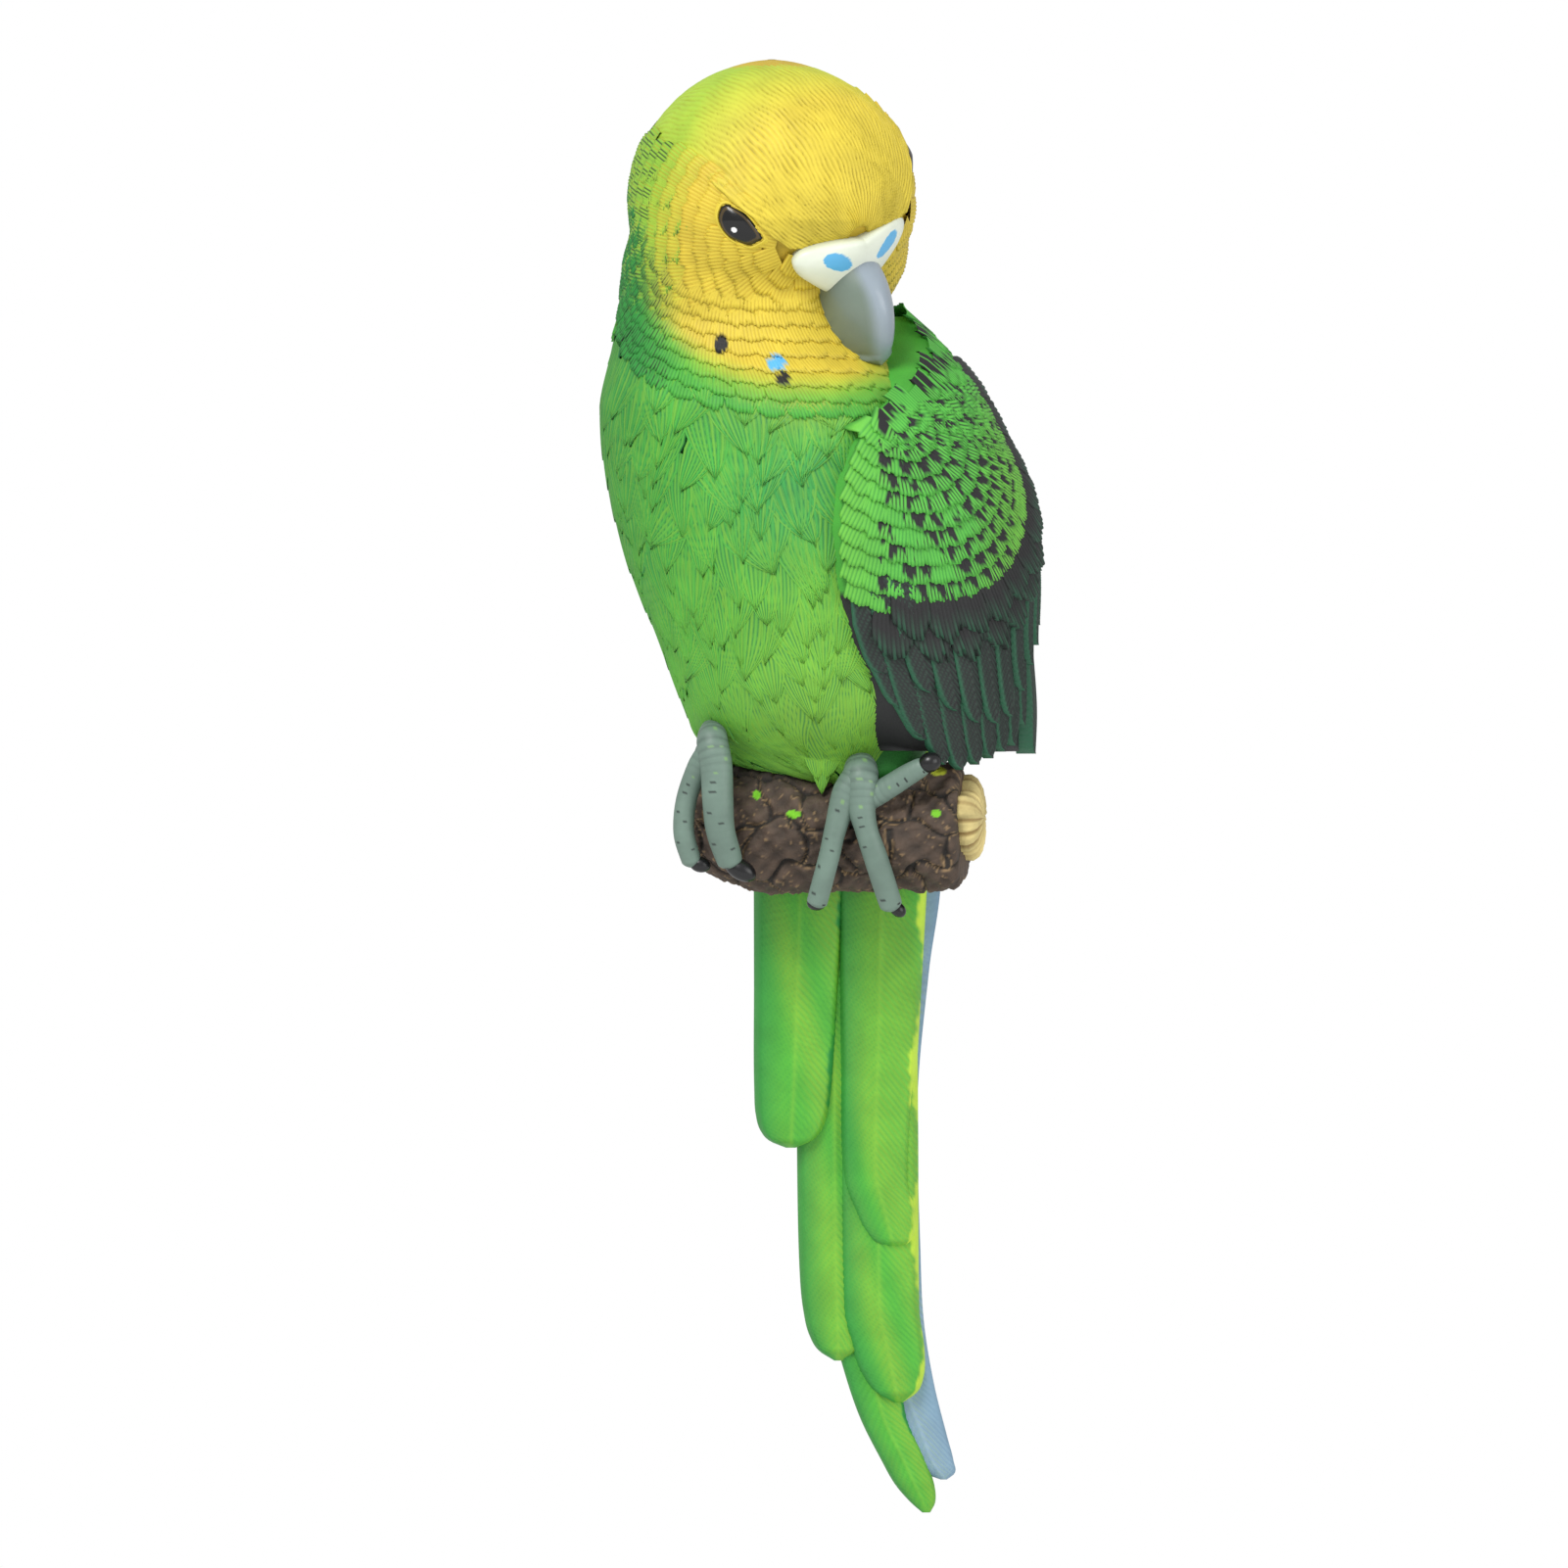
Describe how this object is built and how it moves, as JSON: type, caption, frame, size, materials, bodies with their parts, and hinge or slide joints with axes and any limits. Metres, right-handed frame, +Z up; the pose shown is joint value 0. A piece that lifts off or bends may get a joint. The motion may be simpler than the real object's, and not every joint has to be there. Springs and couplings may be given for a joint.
{
  "type": "parrot figurine",
  "caption": "Painted cast figurine of a small parrot perched on a broken branch stub, long tail hanging below, with a flat keyhole boss on its back for hanging on a wall.",
  "frame": {"origin": "on the flat of the boss on the back that bears on the wall, just above its keyhole", "axes": "+Y into the wall, +Z up along the bird from tail to head, +X to the right of someone who faces the figurine"},
  "size_m": [0.0889, 0.0787, 0.2907],
  "materials": {
    "painted_resin": "matte hand-painted cast resin: green body, yellow head, black wings, grey feet and beak, brown branch"
  },
  "bodies": {
    "root": {"parrot_figurine": "painted_resin"}
  },
  "joints": []
}
